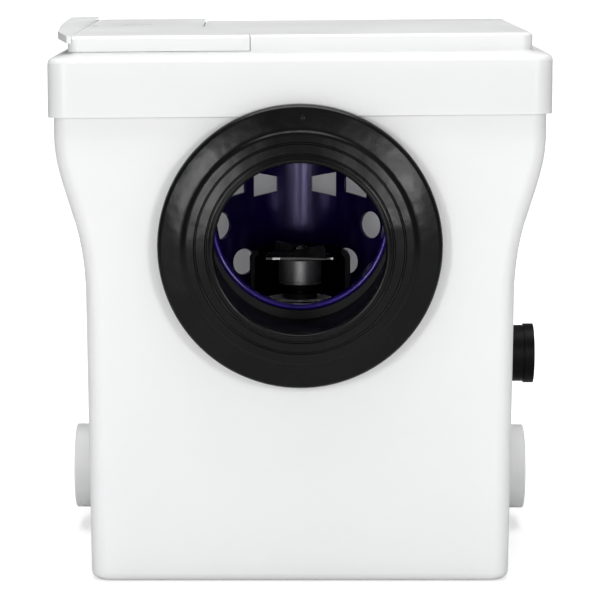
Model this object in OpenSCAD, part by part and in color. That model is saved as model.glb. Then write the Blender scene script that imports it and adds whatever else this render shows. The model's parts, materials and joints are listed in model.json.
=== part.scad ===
// Sewage lift station: a moulded tank with an overhanging lid, a rubber toilet sleeve in front,
// a perforated basket with a cutter, and a submerged motor that drives the cutter and a pump.
// The base rests on z = 0, +X is to the right of the toilet inlet and -Y is the inlet side.

/* [Tank] */
// Width of the tank under the lid
tank_w = 264; // [256:1:276]
// How far each side flares out under the lid
flare_out = 16.25; // [12:0.25:18]
// How far each side draws in down to the foot
draft = 1.5; // [0.5:0.1:3]
// Depth of the tank
tank_d = 230; // [226:1:250]
// Height of the tank's rim
tank_h = 279; // [274:1:295]
// Wall thickness of the tank
wall = 3; // [2.5:0.1:3.5]
// Height where the side walls begin to flare
flare_low_z = 150; // [130:1:160]
// Height where the flare ends
flare_high_z = 243; // [225:1:248]
// Radius of the tank's upright corners
tank_corner_r = 9; // [6:0.5:14]
// Radius of the tank's bottom edge
tank_bottom_r = 5; // [4:0.5:7]

/* [Lid] */
// How far the lid's band reaches down over the tank
lid_drop = 24; // [16:1:30]
// How far the lid's top stands above the tank's rim
lid_rise = 19; // [17:0.5:24]
// Thickness of the lid
lid_wall = 2.6; // [2.2:0.1:3]
// Gap between the tank and the lid's band
lid_fit = 0.4; // [0.3:0.1:0.8]
// Height of the raised platform above the lid's shoulder
platform_h = 9.7; // [8.5:0.1:12]
// How far the platform is set in from the band
platform_inset = 10.5; // [8:0.5:13]
// Corner radius of the lid's band
collar_corner_r = 11; // [9:0.5:15]
// Corner radius of the platform
platform_corner_r = 7; // [6:0.5:10]
// Height of the lid's gasket
gasket_h = 3.6; // [3:0.1:4]

/* [Service cover] */
// Width of the cover along the front of the lid
cover_front_w = 98.5; // [90:0.5:110]
// Width of the cover along the back of the lid
cover_back_w = 67.5; // [64:0.5:76]
// Height of the cover's side walls
cover_h = 8.5; // [7:0.1:9]
// Thickness of the cover
cover_wall = 2.4; // [2:0.1:2.8]
// Gap between the cover and the lid
cover_gap = 0.6; // [0.4:0.1:1]
// How far the grip overhangs the lid at the back
grip_w = 15; // [12:0.5:17]
// Height of the grip's edge
grip_h = 3.9; // [3.4:0.1:4.4]
// Depth of the well under the cover
well_depth = 27; // [26:0.5:30]

/* [Toilet sleeve] */
// Distance of the toilet inlet's axis below the tank's rim
inlet_drop = 93.3; // [88:0.1:95]
// Outer radius of the rubber sleeve
sleeve_r = 76.2; // [73:0.1:78]
// Radius of the sealing lip
lip_r = 45.6; // [43:0.2:47]
// How far the sleeve stands in front of the tank
sleeve_d = 19.6; // [18:0.2:22]
// Inner radius of the inlet tube
tube_r = 51.2; // [50.9:0.1:52]
// Wall thickness of the inlet tube
tube_wall = 2.5; // [2:0.1:2.6]

/* [Basket] */
// Distance of the pump's axis behind the tank's centre
axis_y = 30; // [28:0.5:36]
// Outer radius of the basket
basket_r = 66; // [64:0.5:68]
// Wall thickness of the basket
basket_wall = 2.2; // [1.8:0.1:2.4]
// Distance of the basket's rim below the tank's rim
basket_drop = 29; // [27.5:0.5:32]
// Inner radius of the basket's inlet
basket_inlet_r = 47.8; // [46:0.2:48.6]
// Diameter of the holes at half height
mid_hole_d = 16.4; // [12:0.2:20]
// Diameter of the holes near the floor
low_hole_d = 15.8; // [12:0.2:18]
// Radius of the grinding plate
plate_r = 19.1; // [17:0.1:21]
// Outer radius of the cutter's guard
guard_r = 29.75; // [28:0.25:32]
// Height of the cutter's guard
guard_h = 29.2; // [26:0.2:32]

/* [Cutter] */
// Radius of the cutter's hub
hub_r = 12.65; // [11:0.05:14]
// Height of the cutter's hub
hub_h = 14.3; // [12:0.1:16]
// Radius of the slinger under the hub
slinger_r = 15; // [13.5:0.5:18]
// Length of the bar blade
blade_len = 42; // [36:0.5:46]
// Width of the blades
blade_w = 13; // [12:0.5:14]
// Thickness of the blades
blade_t = 1.6; // [1.4:0.1:2]
// Height of the upper blade's upright wings
fin_h = 6.2; // [5:0.1:8]

/* [Motor] */
// Outer radius of the motor's can
can_r = 52; // [50:0.5:54]
// Wall thickness of the can
can_wall = 2.5; // [2:0.1:3]
// Height of the motor between its end plates
motor_h = 82; // [80:0.5:85]
// Thickness of the motor's lower end plate
end_plate_t = 4; // [3:0.5:5]
// Height of the motor's top cap
cap_h = 12.5; // [11:0.5:14]
// Radius of the shaft
shaft_r = 5; // [4.5:0.25:5.5]
// Outer radius of the bearings
bearing_r = 13; // [11:0.5:14]
// Height of the bearings
bearing_h = 8; // [7:0.5:9]
// Outer radius of the shaft seals
seal_r = 10; // [8:0.25:10.5]

/* [Pump] */
// Height of the feet under the pump
foot_h = 6; // [5:0.5:8]
// Thickness of the suction plate
suction_t = 3; // [2.5:0.5:4]
// Height of the pump's casing
casing_h = 24; // [23:0.5:26]
// Wall thickness of the casing
casing_wall = 3; // [2:0.1:3]
// Radius of the impeller
impeller_r = 34; // [30:0.5:36]
// Number of vanes on the impeller
vane_count = 6; // [4:1:8]
// Radius of the suction eye
eye_r = 14; // [12:0.5:15]
// Distance of the spout from the pump's axis
spout_offset = 44; // [42:0.5:46]
// Inner radius of the spout
spout_r = 9.5; // [8:0.25:9.75]

/* [Discharge] */
// Height of the discharge outlet above the floor
outlet_z = 111; // [105:0.5:116]
// Outer radius of the outlet's tube
outlet_r = 16.25; // [15.75:0.05:17]
// Radius of the outlet's end lip
outlet_lip_r = 17.1; // [17:0.1:18]
// How far the outlet stands out of the tank
outlet_len = 18.8; // [17:0.2:22]
// Radius of the socket for the discharge pipe
socket_r = 14.05; // [13.9:0.05:14.3]
// Radius of the check valve's chamber
chamber_r = 13.3; // [13:0.1:13.6]
// Bend radius of the discharge pipe
bend_r = 16; // [15:0.5:18]

/* [Side inlets] */
// Height of the right inlet above the floor
spigot_z = 35; // [33:0.1:40]
// How much higher the left inlet sits
left_spigot_rise = 0.6; // [0.4:0.1:2]
// Distance of the side inlets behind the tank's centre
spigot_y = 33; // [30:1:40]
// Outer radius of the side inlets
spigot_r = 25; // [24:0.1:26]
// How far the side inlets stand out of the tank
spigot_len = 18.6; // [15:0.2:22]
// Wall thickness of the side inlets
spigot_wall = 3; // [2.5:0.1:3.2]
// Bore radius of the inlet's valve seat
seat_bore_r = 18.5; // [16:0.25:18.5]

/* [Level control] */
// Distance of the pressure bell from the lid platform's left edge
bell_inset_x = 36.5; // [34:0.5:38]
// Distance of the pressure bell from the lid platform's back edge
bell_inset_y = 23.5; // [22.5:0.5:28]
// Radius of the pressure bell
bell_r = 13; // [11:0.5:14]
// Length of the pressure bell
bell_h = 140; // [120:1:150]
// Radius of the pressure switch
switch_r = 17; // [15:0.5:17.5]
// Length of the control box
control_len = 84; // [76:1:88]
// Width of the control box
control_w = 44; // [38:1:46]
// Height of the control box
control_h = 20; // [16:0.5:22]
// Radius of the start capacitor
capacitor_r = 11; // [9:0.5:12]
// Length of the start capacitor
capacitor_len = 46; // [40:1:48]

/* [Hidden] */
$fn = 96;

// General clearances: a cut's overrun, the gap at a seat, a running fit and an easy fit
over = 1;
seat_gap = 0.3;
run_fit = 0.05;
easy_fit = 0.1;

// Tank: exponent that puts the flare's bend nearer its top, and the steps of the moulded form
flare_bias = 1.35;
flare_steps = 14;
corner_steps = 7;
edge_steps = 3;
tank_low_w = tank_w - 2 * flare_out;
tank_foot_w = tank_low_w - 2 * draft;

// Lid: heights of its edges, worked up from the tank's rim
collar_w = tank_w + 2 * (lid_fit + lid_wall);
collar_d = tank_d + 2 * (lid_fit + lid_wall);
collar_z = tank_h - lid_drop;
lid_top_z = tank_h + lid_rise;
shoulder_z = lid_top_z - platform_h;
collar_edge_r = 3;
shoulder_fall = 1.6;
platform_foot_h = 0.5;
platform_edge_r = 2;
gasket_z = tank_h + seat_gap;
shelf_z = gasket_z + gasket_h;
gasket_w = 5;
gasket_inset = 0.8;
post_r = 4;
post_angles = [0, 90, -60];

// Service cover: the seam runs slanting from the front to a knee, then back
half_platform_w = collar_w / 2 - platform_inset;
half_platform_d = collar_d / 2 - platform_inset;
seam_front_x = cover_front_w - half_platform_w;
seam_back_x = cover_back_w - half_platform_w;
seam_knee_shift = 2;
seam_knee_x = seam_back_x + seam_knee_shift;
seam_knee_y = -3;
cover_z = lid_top_z - cover_h;
ledge_z = cover_z - seat_gap;
grip_front_share = 0.6;
grip_mid_share = 0.86;
grip_corner_r = 6;
grip_rise = 3;
cover_rise = 1.4;
grip_wall = 1.8;
well_wall = 2;
well_z = ledge_z - well_depth;

// Toilet sleeve: radii of its soft step and grooves, and heights on its face
sleeve_edge_h = 9;
sleeve_edge_r = 3;
sleeve_step_w = 17.1;
sleeve_dish = 4.6;
sleeve_step_r = lip_r + sleeve_step_w;
sleeve_step_d = sleeve_d - sleeve_dish;
sleeve_step_rise = 1.2;
sleeve_groove_places = [10.5, 4.5];
sleeve_groove_r = 0.7;
lip_t = 4;
sleeve_skin = 4;
ring_wall = 3.8;
tube_fit = 0.5;
inlet_z = tank_h - inlet_drop;
ring_len = 13;
ring_bore_r = tube_r + tube_wall + tube_fit;
ring_r = ring_bore_r + ring_wall;
tube_flange_t = 2.2;
front_y = -tank_d / 2;

// Pump stack, from the tank's floor up to the basket's floor
suction_z = wall + foot_h;
casing_z = suction_z + suction_t;
end_plate_z = casing_z + casing_h;
motor_z = end_plate_z + end_plate_t;
cap_z = motor_z + motor_h;
basket_z = cap_z + cap_h;
basket_floor_t = 2.7;
basket_floor_z = basket_z + basket_floor_t;
basket_top_z = tank_h - basket_drop;
basket_h = basket_top_z - basket_z;
basket_rim_w = 3;
basket_rim_t = 2;
basket_inlet_rise = 4.7;
basket_inlet_z = inlet_z + basket_inlet_rise;
basket_inlet_wall = 1.8;
basket_inlet_len = 3;
basket_inlet_y = axis_y - basket_r - basket_inlet_len;
tube_end_y = basket_inlet_y - seat_gap;

// Basket openings: angles from the back, turned as one pattern, and heights above its floor
pattern_turn = 3;
window_angles = [16.25, 35.1, 54, 73];
window_half_angle = 6.65;
window_rise = 61.5;
window_z = basket_floor_z + window_rise;
window_narrow_h = 8.9;
window_wide_h = 15;
mid_hole_angles = [45.2, 75, 105];
mid_hole_rise = 37.9;
mid_hole_z = basket_floor_z + mid_hole_rise;
low_hole_angles = [0, 29.5, 59, 88.5, 118];
low_hole_rise = 14.6;
low_hole_z = basket_floor_z + low_hole_rise;
basket_cut_r = basket_r - 3 * basket_wall;
basket_cut_len = basket_r - basket_cut_r + over;

// Cutter: the slinger runs clear above the shaft seal
plate_slots = 8;
plate_slot_w = 2;
guard_wall = 2.4;
guard_half_angle = 104;
guard_slot_w = 3;
slinger_rise = 5.4;
slinger_z = basket_floor_z + slinger_rise;
slinger_t = 3.4;
hub_z = slinger_z + slinger_t;
blade_z = hub_z + hub_h;
fin_z = blade_z + blade_t;
nut_z = fin_z + blade_t;
fin_top_share = 0.42;
fin_len = blade_len * 0.44;
fin_turn = -20;
nut_r = 4.6;
nut_h = 4;
thread_r = 3;

// Motor: the stator fills the can, the rotor runs inside it
core_h = motor_h * 0.5;
core_z = motor_z + (motor_h - core_h) / 2;
stator_slots = 12;
stator_slot_w = 5;
stator_r = can_r - can_wall - easy_fit;
rotor_r = can_r * 0.44;
air_gap = 0.5;
winding_h = 9;
boss_wall = 4;
upper_bearing_z = cap_z - bearing_h;
cap_hub_r = 30;
cap_flange_t = 4;
seal_rise = 3.2;

// Pump: the casing's spiral grows from the impeller to the outside of the spout
spout_wall = casing_h / 2 - spout_r;
casing_room = 5;
spiral_start_r = impeller_r + casing_room + casing_wall;
spiral_end_r = spout_offset + casing_h / 2;
spiral_steps = 48;
spout_z = casing_z + casing_h / 2;
spout_y = axis_y - spout_offset;
impeller_gap = 1;
shroud_t = 3;
vane_t = 2.2;
vane_sweep = 26;
impeller_hub_wall = 3.5;
impeller_hub_r = shaft_r + impeller_hub_wall;
strainer_r = 30;
strainer_wall = 3;
strainer_slots = 14;
strainer_slot_w = 3.2;
foot_r = 6;
foot_place_r = 44;
foot_angles = [20, 110, 200, 290];
screw_r = 2;
screw_head_r = 3.6;
screw_head_h = 2.4;

// Discharge: the outlet's inner end, the riser and the pipe follow the tank's wall
outlet_y = spout_y;
outlet_wall_x = half_w(outlet_z) - wall;
outlet_tip_x = half_w(outlet_z) + outlet_len;
outlet_lip_t = 5.5;
socket_len = 13;
valve_depth = 20;
seat_t = 2;
valve_x = outlet_wall_x - valve_depth;
tail_len = 8;
riser_x = valve_x - bend_r;
spout_end_x = riser_x - bend_r;
tail_r = spout_r + spout_wall;
pipe_in_r = tail_r + easy_fit;
pipe_wall = 2.5;
pipe_r = pipe_in_r + pipe_wall;
locknut_wall = 5.5;
locknut_r = outlet_r + locknut_wall;
locknut_t = 5;
locknut_flats = 8;
clamp_t = 1;
clamp_w = 7;

// Flaps and their pins
pin_r = 1;
lug_r = 2;
check_flap_t = 2;
check_flap_room = 2.7;
check_flap_r = chamber_r - check_flap_room;
check_lug_len = 6;
check_pin_rise = sqrt(pow(chamber_r - seat_gap, 2) - pow(check_lug_len / 2, 2)) - lug_r;
check_pin_x = valve_x + seat_t + seat_gap + check_flap_t;
check_pin_len = 22;
inlet_flap_t = 3;
inlet_flap_lap = 2;
inlet_flap_r = seat_bore_r + inlet_flap_lap;
inlet_pin_r = 1.5;
inlet_lug_r = 3;
inlet_pin_rise = inlet_flap_r + inlet_lug_r + seat_gap;
inlet_pin_len = 22;
inlet_lug_len = 12;
seat_flange_lap = 1.5;
seat_flange_r = spigot_r + seat_flange_lap;
seat_flange_t = 4.4;
seat_plug_len = 12;
ear_t = 3;
spigot_edge_r = 1.2;
spigot_root_w = 0.8;
spigot_root_r = spigot_r + spigot_root_w;
spigot_root_rise = 0.35;
inlet_wall_x = half_w(spigot_z - spigot_r) - wall;
seat_face_x = inlet_wall_x - seat_gap - seat_flange_t;
inlet_pin_x = seat_face_x - seat_gap - inlet_lug_r;

// Level control and the other pieces in the lid's well
bell_wall = 1.8;
bell_x = half_platform_w - bell_inset_x;
bell_y = half_platform_d - bell_inset_y;
bell_rise = 8;
bell_low_z = wall + bell_rise;
hose_r = 4;
hose_bore_r = 2;
switch_h = 17;
switch_wall = 2;
switch_travel = 1.5;
diaphragm_t = 1.2;
stem_r = 3;
well_room = 1.5;
control_x = -(half_platform_w - lid_wall / 2 - well_wall - well_room);
control_y = bell_y - switch_r - well_room - control_len;
control_wall = 2;
control_cover_t = 2.2;
control_screw_inset = 4;
capacitor_y = control_y - capacitor_len - 4 * well_room;
clip_t = 1.2;
clip_w = 9;
filter_r = 10;
filter_h = 15;
filter_stem_r = 8;
filter_x = control_x + filter_r + well_room;
filter_y = capacitor_y + filter_r + well_room;
filter_slots = 10;
filter_slot_w = 1.6;
capacitor_x = filter_x + filter_r + capacitor_r + 3 * well_room;
grommet_r = 3.6;
grommet_bore_r = 2.6;
grommet_len = 6;
grommet_x = control_x + 2 * grommet_r + 4 * well_room;
grommet_z = ledge_z + seat_gap + grommet_r;

// Half the tank's width at a height: a slight draft, the flare, then an upright rim
function flare_blend(share) = (1 - cos(180 * pow(share, flare_bias))) / 2;
function half_w(z) =
    z < flare_low_z ? tank_foot_w / 2 + draft * max(z, 0) / flare_low_z
    : z < flare_high_z ? tank_low_w / 2 + (tank_w - tank_low_w) / 2
        * flare_blend((z - flare_low_z) / (flare_high_z - flare_low_z))
    : tank_w / 2;
function half_d(z) = tank_d / 2 - draft * (1 - min(1, max(z, 0) / flare_low_z));

// A loft through level rounded rectangles, each given as [half width, half depth, corner radius, z]
function ring_points(level) = [
    for (corner = [0:3]) for (step = [0:corner_steps])
        let (a = 90 * (corner + step / corner_steps),
             side_x = (corner == 0 || corner == 3) ? 1 : -1,
             side_y = corner < 2 ? 1 : -1)
        [side_x * (level[0] - level[2]) + level[2] * cos(a),
         side_y * (level[1] - level[2]) + level[2] * sin(a), level[3]]];
module loft(levels) {
    n = 4 * (corner_steps + 1);
    top = len(levels) - 1;
    points = [for (level = levels) each ring_points(level)];
    sides = [for (l = [0:top - 1]) for (i = [0:n - 1])
        let (a = l * n + i, b = l * n + (i + 1) % n) each [[a, a + n, b + n], [a, b + n, b]]];
    polyhedron(points, concat([[for (i = [0:n - 1]) i]], sides, [[for (i = [n - 1:-1:0]) top * n + i]]));
}

module tank_form(inset, floor_z, top_z) {
    r = tank_bottom_r - inset / 2;
    bottom = [for (i = [0:edge_steps]) let (a = 90 * i / edge_steps, z = floor_z + r * (1 - cos(a)))
        [half_w(z) - inset - r * (1 - sin(a)), half_d(z) - inset - r * (1 - sin(a)), tank_corner_r - inset, z]];
    flare = [for (i = [0:flare_steps])
        let (z = flare_low_z + (flare_high_z - flare_low_z) * i / flare_steps)
        [half_w(z) - inset, half_d(z) - inset, tank_corner_r - inset, z]];
    loft(concat(bottom, flare, [[tank_w / 2 - inset, tank_d / 2 - inset, tank_corner_r - inset, top_z]]));
}

function lid_corner(inset) = collar_corner_r
    - (collar_corner_r - platform_corner_r) * inset / platform_inset;
function lid_level(step_in, z, inset, drop) =
    [collar_w / 2 - step_in - inset, collar_d / 2 - step_in - inset, lid_corner(step_in) - inset, z - drop];
module lid_form(inset, drop, low_z) {
    edge_z = shoulder_z - shoulder_fall - collar_edge_r;
    loft(concat(
        [[collar_w / 2 - inset, collar_d / 2 - inset, collar_corner_r - inset, low_z]],
        [for (i = [0:edge_steps]) let (a = 90 * i / edge_steps)
            lid_level(collar_edge_r * (1 - cos(a)), edge_z + collar_edge_r * sin(a), inset, drop)],
        [lid_level(platform_inset - platform_foot_h, shoulder_z, inset, drop),
         lid_level(platform_inset, shoulder_z + platform_foot_h, inset, drop)],
        [for (i = [0:edge_steps]) let (a = 90 * i / edge_steps)
            lid_level(platform_inset + platform_edge_r * (1 - cos(a)),
                lid_top_z - platform_edge_r * (1 - sin(a)), inset, drop)]));
}

// Small builders: a ring, a rounded rectangle, and frames that lay a piece along X or towards the front
module ring(r, bore_r, h) {
    difference() {
        cylinder(r = r, h = h);
        translate([0, 0, -over]) cylinder(r = bore_r, h = h + 2 * over);
    }
}
module rounded_rect(w, d, r) {
    square([w - 2 * r, d], center = true);
    square([w, d - 2 * r], center = true);
    for (x = [-1, 1], y = [-1, 1]) translate([x * (w / 2 - r), y * (d / 2 - r)]) circle(r = r);
}
module along_x(x, y, z) { translate([x, y, z]) rotate([0, 90, 0]) children(); }
module to_front(y, z) { translate([0, y, z]) rotate([90, 0, 0]) children(); }
module on_left() { translate([0, 0, left_spigot_rise]) scale([-1, 1, 1]) children(); }
module on_axis(z) { translate([0, axis_y, z]) children(); }
module around_basket(a, z) { on_axis(z) rotate([0, 0, -a]) rotate([-90, 0, 0]) children(); }

// The tank's shell, with the ring that carries the toilet sleeve and both side inlets
module spigot_blank() {
    // A low ring at the root gives a hose a flat face to stop at
    inner_x = half_w(spigot_z) - 2 * wall;
    tip_x = half_w(spigot_z) + spigot_len;
    root_x = half_w(spigot_z + spigot_r) + spigot_root_rise;
    along_x(inner_x, spigot_y, spigot_z) rotate_extrude() {
        square([spigot_root_r, root_x - inner_x]);
        square([spigot_r, tip_x - inner_x - spigot_edge_r]);
        square([spigot_r - spigot_edge_r, tip_x - inner_x]);
        translate([spigot_r - spigot_edge_r, tip_x - inner_x - spigot_edge_r]) circle(r = spigot_edge_r);
    }
}
module spigot_bore() {
    along_x(half_w(spigot_z) - 3 * wall, spigot_y, spigot_z)
        cylinder(r = spigot_r - spigot_wall, h = spigot_len + 4 * wall);
}
module tank() {
    color("whitesmoke") difference() {
        union() {
            tank_form(0, 0, tank_h);
            spigot_blank();
            on_left() spigot_blank();
            to_front(front_y + wall, inlet_z) cylinder(r = ring_r, h = ring_len + wall);
        }
        tank_form(wall, wall, tank_h + over);
        to_front(front_y + 2 * wall, inlet_z) cylinder(r = ring_bore_r, h = ring_len + 4 * wall);
        spigot_bore();
        on_left() spigot_bore();
        along_x(outlet_wall_x - wall, outlet_y, outlet_z) cylinder(r = outlet_r + seat_gap, h = 4 * wall);
    }
}

// Plan of the service cover's side of the lid; shift moves its seam to the right
module seam_plan(shift) {
    far_x = -half_platform_w - over;
    far_y = half_platform_d + over;
    polygon([[far_x, -far_y], [seam_front_x + shift, -far_y], [seam_knee_x + shift, seam_knee_y],
        [seam_back_x + shift, far_y], [far_x, far_y]]);
}
module well_plan(inset, shift) {
    intersection() {
        rounded_rect(2 * (half_platform_w - inset), 2 * (half_platform_d - inset), platform_corner_r - inset);
        seam_plan(shift);
    }
}
module lid() {
    wall_mid = lid_wall / 2;
    color("whitesmoke") difference() {
        union() {
            difference() {
                lid_form(0, 0, collar_z);
                lid_form(lid_wall, lid_wall, collar_z - over);
            }
            translate([0, 0, shelf_z]) linear_extrude(shoulder_z - shoulder_fall - wall_mid - shelf_z)
                difference() {
                    rounded_rect(collar_w - 2 * wall_mid, collar_d - 2 * wall_mid, collar_corner_r - wall_mid);
                    rounded_rect(tank_w - 2 * gasket_w, tank_d - 2 * gasket_w, tank_corner_r - wall);
                }
            translate([0, 0, well_z - well_wall]) linear_extrude(lid_top_z - wall_mid - well_z + well_wall)
                difference() {
                    well_plan(wall_mid, well_wall);
                    well_plan(wall_mid + well_wall, 0);
                }
            translate([0, 0, well_z - well_wall]) linear_extrude(well_wall) well_plan(wall_mid, well_wall);
            for (a = post_angles) on_axis(basket_top_z + seat_gap)
                translate([(basket_r + basket_rim_w / 2) * cos(a), (basket_r + basket_rim_w / 2) * sin(a), 0])
                    cylinder(r = post_r, h = lid_top_z - wall_mid - basket_top_z - seat_gap);
        }
        translate([0, 0, ledge_z]) linear_extrude(lid_top_z) seam_plan(0);
        translate([-bell_x, bell_y, well_z - 2 * well_wall]) cylinder(r = hose_r + easy_fit, h = 3 * well_wall);
        translate([filter_x, filter_y, well_z - 2 * well_wall]) cylinder(r = filter_stem_r, h = 3 * well_wall);
    }
}
module lid_gasket() {
    color("dimgray") translate([0, 0, gasket_z]) linear_extrude(gasket_h) difference() {
        rounded_rect(tank_w - 2 * gasket_inset, tank_d - 2 * gasket_inset, tank_corner_r - gasket_inset);
        rounded_rect(tank_w - 2 * gasket_w, tank_d - 2 * gasket_w, tank_corner_r - wall);
    }
}

// The grip is a strip that widens and rises towards the back of the cover's left side
module grip_plan(inset) {
    root_x = -half_platform_w + cover_wall;
    back_y = half_platform_d - inset;
    tip_x = -half_platform_w - grip_w + inset;
    polygon([[root_x, inset - half_platform_d], [inset - half_platform_w, inset - half_platform_d],
        [inset - half_platform_w - grip_w * grip_front_share, -half_platform_d * 0.55],
        [inset - half_platform_w - grip_w * grip_mid_share, 0],
        [tip_x, half_platform_d * 0.6], [tip_x, back_y - grip_corner_r],
        [tip_x + grip_corner_r * (1 - cos(45)), back_y - grip_corner_r * (1 - sin(45))],
        [tip_x + grip_corner_r, back_y], [root_x, back_y]]);
}
module rise_back() {
    slope = cover_rise / (2 * half_platform_d);
    multmatrix([[1, 0, 0, 0], [0, 1, 0, 0], [0, slope, 1, cover_rise / 2], [0, 0, 0, 1]]) children();
}
module tilt_grip() {
    slope = atan(grip_rise / (2 * half_platform_d));
    translate([0, -half_platform_d, lid_top_z - grip_h]) rotate([slope, 0, 0])
        translate([0, half_platform_d, 0]) children();
}
module service_cover() {
    color("whitesmoke") difference() {
        union() {
            intersection() {
                rise_back() lid_form(0, 0, collar_z);
                translate([0, 0, cover_z]) linear_extrude(lid_top_z) seam_plan(-cover_gap);
            }
            tilt_grip() linear_extrude(grip_h) grip_plan(0);
        }
        intersection() {
            rise_back() lid_form(cover_wall, cover_wall, collar_z);
            translate([0, 0, cover_z - over]) linear_extrude(lid_top_z) seam_plan(-cover_gap - cover_wall);
        }
        translate([grommet_x, half_platform_d, grommet_z]) {
            rotate([90, 0, 0]) cylinder(r = grommet_r + seat_gap, h = 4 * cover_wall, center = true);
            translate([-grommet_r - seat_gap, -2 * cover_wall, -cover_h])
                cube([2 * (grommet_r + seat_gap), 4 * cover_wall, cover_h]);
        }
        difference() {
            tilt_grip() translate([0, 0, -over]) linear_extrude(grip_h - grip_wall + over) grip_plan(grip_wall);
            translate([-half_platform_w, -collar_d / 2, cover_z - over]) cube([collar_w, collar_d, lid_top_z]);
        }
    }
}

// The rubber sleeve is turned about the inlet's axis; its depth d is measured from the tank's front
function sleeve_face(r) = sleeve_step_d + sleeve_step_rise
    + (sleeve_d - sleeve_step_d - sleeve_step_rise) * (sleeve_step_r - r) / (sleeve_step_r - lip_r);
module sleeve_profile() {
    difference() {
        polygon([[lip_r, sleeve_d - lip_t], [lip_r, sleeve_d - sleeve_groove_r],
                [lip_r + sleeve_groove_r, sleeve_d], [sleeve_step_r - sleeve_step_rise, sleeve_face(sleeve_step_r)],
                [sleeve_step_r, sleeve_step_d],
                for (i = [0:2 * edge_steps]) let (a = 45 * i / edge_steps)
                    [sleeve_r - sleeve_edge_r * (1 - sin(a)), sleeve_edge_h + sleeve_edge_r * cos(a)],
                [sleeve_r, seat_gap],
                [ring_r + seat_gap, seat_gap], [ring_r + seat_gap, ring_len + tube_flange_t + seat_gap],
                [lip_r + lip_t, ring_len + tube_flange_t + seat_gap]]);
        translate([ring_r + seat_gap + sleeve_skin, 0])
            square([sleeve_r - ring_r - seat_gap - 2 * sleeve_skin, sleeve_edge_h]);
        for (place = sleeve_groove_places)
            translate([lip_r + place, sleeve_face(lip_r + place)]) circle(r = sleeve_groove_r, $fn = 24);
    }
}
module toilet_sleeve() {
    band_z = collar_z - seat_gap;
    color("black") difference() {
        to_front(front_y, inlet_z) rotate_extrude() sleeve_profile();
        translate([-sleeve_r, -collar_d / 2 - seat_gap, band_z]) cube([2 * sleeve_r, collar_d, sleeve_r]);
    }
}
module inlet_tube() {
    flange_r = ring_r - seat_gap;
    color("black") to_front(front_y, inlet_z) {
        translate([0, 0, front_y - tube_end_y])
            ring(tube_r + tube_wall, tube_r, ring_len + tube_end_y - front_y);
        translate([0, 0, ring_len]) ring(flange_r, tube_r, tube_flange_t);
    }
}

// The basket: an upright perforated cup with a level inlet collar in its front
module window_cut() {
    narrow_x = basket_r * tan(window_half_angle);
    translate([0, 0, basket_cut_r]) linear_extrude(basket_cut_len)
        polygon([[-narrow_x, -window_narrow_h / 2], [narrow_x, -window_wide_h / 2],
        [narrow_x, window_wide_h / 2], [-narrow_x, window_narrow_h / 2]]);
}
module basket() {
    inner_r = basket_r - basket_wall;
    collar_r = basket_inlet_r + basket_inlet_wall;
    color("indigo") difference() {
        union() {
            on_axis(basket_z) cylinder(r = basket_r, h = basket_h);
            on_axis(basket_top_z - basket_rim_t) cylinder(r = basket_r + basket_rim_w, h = basket_rim_t);
            to_front(axis_y, basket_inlet_z) cylinder(r = collar_r, h = axis_y - basket_inlet_y);
        }
        on_axis(basket_floor_z) cylinder(r = inner_r, h = basket_h);
        on_axis(basket_z - over) cylinder(r = plate_r, h = basket_floor_t + 2 * over);
        to_front(axis_y, basket_inlet_z) cylinder(r = basket_inlet_r, h = axis_y - basket_inlet_y + over);
        for (side = [-1, 1]) {
            for (a = window_angles) around_basket(side * a - pattern_turn, window_z)
                scale([side, 1, 1]) window_cut();
            for (a = mid_hole_angles) around_basket(side * a - pattern_turn, mid_hole_z)
                translate([0, 0, basket_cut_r]) cylinder(d = mid_hole_d, h = basket_cut_len);
            for (a = low_hole_angles) around_basket(side * a - pattern_turn, low_hole_z)
                translate([0, 0, basket_cut_r]) cylinder(d = low_hole_d, h = basket_cut_len);
        }
    }
}
module grinding_plate() {
    color("silver") on_axis(basket_z) difference() {
        ring(plate_r - run_fit, seal_r + easy_fit, basket_floor_t);
        for (i = [0:plate_slots - 1]) rotate([0, 0, 360 * i / plate_slots])
            translate([seal_r + 2 * plate_slot_w, -plate_slot_w / 2, -over])
                cube([plate_r, plate_slot_w, basket_floor_t + 2 * over]);
    }
}

// The guard stands behind the cutter as part of a tube, slotted and open towards the inlet
module wedge_plan(r, half_angle) {
    far = 2 * r;
    polygon([[0, 0], for (i = [-3:3]) let (a = 90 + half_angle * i / 3) [far * cos(a), far * sin(a)]]);
}
module cutter_guard() {
    bevel = 2 * guard_wall;
    color("black") on_axis(basket_floor_z) difference() {
        intersection() {
            rotate_extrude() polygon([[guard_r - guard_wall, 0], [guard_r, 0], [guard_r, guard_h - bevel],
                [guard_r - bevel / 3, guard_h - bevel / 3], [guard_r - bevel, guard_h],
                [guard_r - 2 * guard_wall, guard_h - guard_wall], [guard_r - guard_wall, guard_h - bevel]]);
            translate([0, 0, -over]) linear_extrude(guard_h + 2 * over) wedge_plan(guard_r, guard_half_angle);
        }
        for (a = [-60, -20, 20, 60]) rotate([0, 0, a])
            translate([-guard_slot_w / 2, 0, guard_h / 4]) cube([guard_slot_w, guard_r + over, guard_h / 2]);
    }
}

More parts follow.
